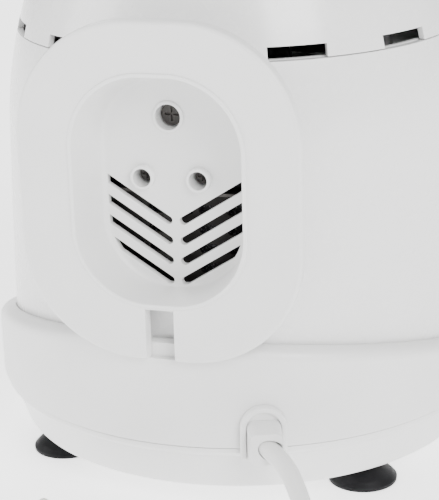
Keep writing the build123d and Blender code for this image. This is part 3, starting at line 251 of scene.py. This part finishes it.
finishes = {
    "shell": material("shell_white", WHITE, 0.26, mottle=0.012, grain=700, depth=0.05,
                      coat=0.25, edge=WHITE_EDGE_HIGHLIGHT, scatter=0.05),
    "collar": material("collar_white", OFF_WHITE, 0.36, mottle=0.015, grain=1500, depth=0.12,
                       edge=WHITE_EDGE_HIGHLIGHT, scatter=0.08),
    "base": material("base_white", OFF_WHITE, 0.34, mottle=0.018, grain=1300, depth=0.10,
                     edge=WHITE_EDGE_HIGHLIGHT, scatter=0.06),
    "feet": material("foot_rubber", (0.008, 0.008, 0.009), 0.46, mottle=0.25, grain=2200,
                     depth=0.25, edge=(0.025, 0.025, 0.025), bevel=0.0006, specular=0.12),
    "steel": material("bright_steel", (0.58, 0.58, 0.59), 0.26, 1.0, mottle=0.05, grain=1800,
                      depth=0.10, edge=STEEL_EDGE_HIGHLIGHT),
    "sheet_steel": material("rolled_steel", (0.60, 0.60, 0.61), 0.34, 1.0, mottle=0.06,
                            grain=420, depth=0.16, stretch=(1, 1, 9), edge=STEEL_EDGE_HIGHLIGHT),
    "element": material("heated_steel", (0.26, 0.23, 0.21), 0.42, 1.0, mottle=0.3, grain=900,
                        depth=0.2, edge=(0.4, 0.36, 0.32)),
    "aluminium": material("cast_aluminium", (0.72, 0.72, 0.73), 0.38, 1.0, mottle=0.05,
                          grain=1100, depth=0.2, edge=(0.85, 0.85, 0.85)),
    "black_plastic": material("black_plastic", (0.022, 0.022, 0.024), 0.42, mottle=0.15,
                              grain=1600, depth=0.2, edge=(0.06, 0.06, 0.06)),
    "grey_plastic": material("grey_plastic", (0.055, 0.057, 0.06), 0.38, mottle=0.04, grain=1700,
                             depth=0.15, edge=(0.15, 0.15, 0.155), specular=0.3),
    "clear_plastic": material("clear_plastic", (0.93, 0.95, 0.96), 0.08, mottle=0.01, grain=300,
                              depth=0.03, transmission=0.92, rough_spread=0.03),
    "nonstick": material("nonstick_coat", (0.035, 0.035, 0.037), 0.36, 0.2, mottle=0.2,
                         grain=2400, depth=0.3, edge=(0.12, 0.12, 0.12),
                         fleck=((0.22, 0.22, 0.23), 1400.0)),
    "laminations": material("laminations", (0.30, 0.31, 0.33), 0.5, 0.9, mottle=0.15, grain=900,
                            depth=0.5, stretch=(0.05, 0.05, 2.2)),
    "winding": material("copper_winding", (0.50, 0.19, 0.06), 0.35, 0.6, mottle=0.2, grain=900,
                        depth=0.5, stretch=(2.0, 0.1, 0.1)),
    "ceramic": material("cream_plastic", (0.72, 0.69, 0.60), 0.45, mottle=0.05, grain=1200,
                        depth=0.15, edge=(0.82, 0.80, 0.74)),
    "bell": material("pressed_brass", (0.66, 0.48, 0.20), 0.3, 1.0, mottle=0.08, grain=800,
                     depth=0.1, edge=(0.85, 0.7, 0.4)),
    "lamp_green": material("green_lens", (0.06, 0.5, 0.14), 0.12, mottle=0.05, grain=1500,
                           depth=0.1, transmission=0.6),
    "lamp_amber": material("amber_lens", (0.9, 0.36, 0.05), 0.12, mottle=0.05, grain=1500,
                           depth=0.1, transmission=0.6),
    "relief": material("relief_plastic", (0.76, 0.76, 0.755), 0.38, mottle=0.02, grain=1500,
                       depth=0.15, edge=MOULDED_EDGE_HIGHLIGHT, scatter=0.1),
    "cord": material("cord_sheath", (0.74, 0.74, 0.73), 0.42, mottle=0.03, grain=2600,
                     depth=0.18, scatter=0.12),
    "plug": material("plug_plastic", (0.75, 0.75, 0.74), 0.34, mottle=0.02, grain=1500,
                     depth=0.15, edge=MOULDED_EDGE_HIGHLIGHT, scatter=0.1),
    "pins": material("plated_pins", (0.66, 0.64, 0.60), 0.22, 1.0, mottle=0.04, grain=1500,
                     depth=0.08, edge=(0.8, 0.78, 0.74)),
}


def finish_with(piece, made):
    """The piece shows this material and no other."""
    if not piece.material_slots:
        piece.data.materials.append(made)
    for place in piece.material_slots:
        place.material = made


for part in frame["record"]["subparts"]:
    finish_with(nodes[part["node"]], finishes[part["material_slot"]])
finish_with(mains_cord, finishes["cord"])

dark_steel = material("heat_darkened_steel", (0.045, 0.042, 0.040), 0.5, 0.6, mottle=0.3,
                      grain=700, depth=0.15, edge=(0.12, 0.11, 0.10))
for darkened in ("exhaust_duct", "chamber_liner", "screw_plate", "collar_screws"):
    finish_with(nodes[darkened], dark_steel)

# ---- dial marks --------------------------------------------------------------------------
TEMPERATURE_FACE = 247.66            # heights above the table, in millimetres
TEMPERATURE_KNOB_TOP = 268.0
TIMER_TILT = radians(25)
TIMER_OUT = Vector((0, -cos(TIMER_TILT), sin(TIMER_TILT)))
TIMER_UP = Vector((0, sin(TIMER_TILT), cos(TIMER_TILT)))
TIMER_SKIN = at(0, -77.57, 200.0)
TIMER_FACE = 2.0 * MM                # heights over that point of the cover's skin
TIMER_KNOB_TOP = 19.8 * MM
INK_T = 0.00012
TIMER_STEP = 50                      # degrees from one number to the next
TIMER_TICK, TIMER_LONG_TICK = (20.6, 21.8), (20.6, 22.4)
TIMER_TICK_W = 0.3
TEMPERATURE_STEP = 45
TEMPERATURE_TICK, TEMPERATURE_LONG_TICK = (26.0, 27.4), (26.0, 28.4)
TEMPERATURE_TICK_W = 0.45
white_ink = material("white_ink", (0.86, 0.86, 0.85), 0.5, mottle=0.05, grain=2500, depth=0.1)
dark_ink = material("dark_ink", (0.10, 0.10, 0.11), 0.5, mottle=0.08, grain=2500, depth=0.1)


def timer_plane(height):
    """Placement square to the timer's axis, at a height over the cover's skin."""
    place = Matrix.Translation(TIMER_SKIN + TIMER_OUT * height)
    return place @ Matrix((Vector((1, 0, 0)), TIMER_UP, TIMER_OUT)).transposed().to_4x4()


def top_plane(height):
    """Level placement on the body's axis, at a height in millimetres."""
    return Matrix.Translation(at(0, 0, height))


def bars(name, base, spans, body, made):
    """Thin printed bars on a plane: spans are (angle, from radius, to radius, width) in mm."""
    mesh = bpy.data.meshes.new(name)
    shape = bmesh.new()
    for angle, start, end, width in spans:
        turn = Matrix.Rotation(radians(angle), 4, "Z")
        size = Matrix.Diagonal(((end - start) * MM, width * MM, INK_T, 1.0))
        place = Matrix.Translation(((start + end) / 2 * MM, 0, INK_T / 2))
        bmesh.ops.create_cube(shape, size=1.0, matrix=base @ turn @ place @ size)
    bmesh.ops.bevel(shape, geom=shape.edges[:], offset=INK_T / 4, segments=1, affect="EDGES")
    shape.to_mesh(mesh)
    shape.free()
    piece = bpy.data.objects.new(name, mesh)
    bpy.context.scene.collection.objects.link(piece)
    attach(piece, body)
    finish_with(piece, made)


def numbers(name, base, labels, radius, height, body, made):
    """Printed numbers round a dial: labels are (text, angle)."""
    for text, angle in labels:
        words = bpy.data.curves.new(name + "_" + text, "FONT")
        words.body = text
        words.size = height * MM
        words.align_x = "CENTER"
        words.align_y = "CENTER"
        words.extrude = INK_T / 2
        words.resolution_u = 3
        piece = bpy.data.objects.new(name + "_" + text, words)
        turn = Matrix.Translation(
            (radius * MM * cos(radians(angle)), radius * MM * sin(radians(angle)), INK_T / 2))
        piece.matrix_world = base @ turn
        bpy.context.scene.collection.objects.link(piece)
        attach(piece, body)
        finish_with(piece, made)


timer_ticks = [(90 - TIMER_STEP * k / 5, *(TIMER_TICK if k % 5 else TIMER_LONG_TICK), TIMER_TICK_W)
               for k in range(31)]
temperature_ticks = [(90 - TEMPERATURE_STEP * k / 2,
                      *(TEMPERATURE_TICK if k % 2 else TEMPERATURE_LONG_TICK), TEMPERATURE_TICK_W)
                     for k in range(13)]
bars("timer_ticks", timer_plane(TIMER_FACE), timer_ticks, "body", dark_ink)
numbers("timer_minutes", timer_plane(TIMER_FACE),
        [(str(5 * k), 90 - TIMER_STEP * k) for k in range(7)], 24.3, 2.9, "body", dark_ink)
bars("temperature_ticks", top_plane(TEMPERATURE_FACE), temperature_ticks, "body", white_ink)
numbers("temperature_degrees", top_plane(TEMPERATURE_FACE),
        [(str(80 + 20 * k), 90 - TEMPERATURE_STEP * k) for k in range(7)], 32.4, 4.2, "body",
        white_ink)
bars("timer_pointer", timer_plane(TIMER_KNOB_TOP), [(90, 6.0, 14.5, 1.2)], "timer", white_ink)
bars("temperature_pointer", top_plane(TEMPERATURE_KNOB_TOP), [(90, 8.0, 18.5, 1.4)],
     "temperature", white_ink)

# ---- floor and light ---------------------------------------------------------------------
FLOOR_SIZE = 30
FLOOR_COLOUR = (0.93, 0.93, 0.93, 1)
FLOOR_GLOW = 1.5
ROOM_LIGHT = 0.8
PURE_WHITE = (1, 1, 1, 1)

bpy.ops.mesh.primitive_plane_add(size=FLOOR_SIZE, location=(0, 0, 0))
floor = bpy.context.object
floor.name = "floor"
floor_finish = bpy.data.materials.new("floor")
floor_finish.use_nodes = True
floor_shader = floor_finish.node_tree.nodes["Principled BSDF"]
floor_shader.inputs["Base Color"].default_value = FLOOR_COLOUR
floor_shader.inputs["Roughness"].default_value = 0.5
floor_shader.inputs["Emission Color"].default_value = PURE_WHITE
floor_shader.inputs["Emission Strength"].default_value = FLOOR_GLOW
finish_with(floor, floor_finish)

world = bpy.data.worlds.new("studio")
world.use_nodes = True
room = world.node_tree.nodes["Background"]
room.inputs["Color"].default_value = PURE_WHITE
room.inputs["Strength"].default_value = ROOM_LIGHT
bpy.context.scene.world = world


def lamp(name, place, aim, width, height, power):
    """Soft area light at a place, turned towards a point."""
    data = bpy.data.lights.new(name, "AREA")
    data.shape = "RECTANGLE"
    data.size = width
    data.size_y = height
    data.energy = power
    light = bpy.data.objects.new(name, data)
    light.location = place
    light.rotation_mode = "QUATERNION"
    light.rotation_quaternion = (Vector(aim) - Vector(place)).to_track_quat("-Z", "Y")
    bpy.context.scene.collection.objects.link(light)


lamp("key", (-1.3, 1.3, 1.3), (0, 0, 0.12), 1.0, 1.0, 52)
lamp("side", (1.6, 0.7, 0.7), (0, 0, 0.1), 0.9, 1.3, 26)
lamp("front", (0.9, -1.4, 1.2), (0, 0, 0.12), 1.0, 1.0, 22)

bpy.context.view_layer.update()
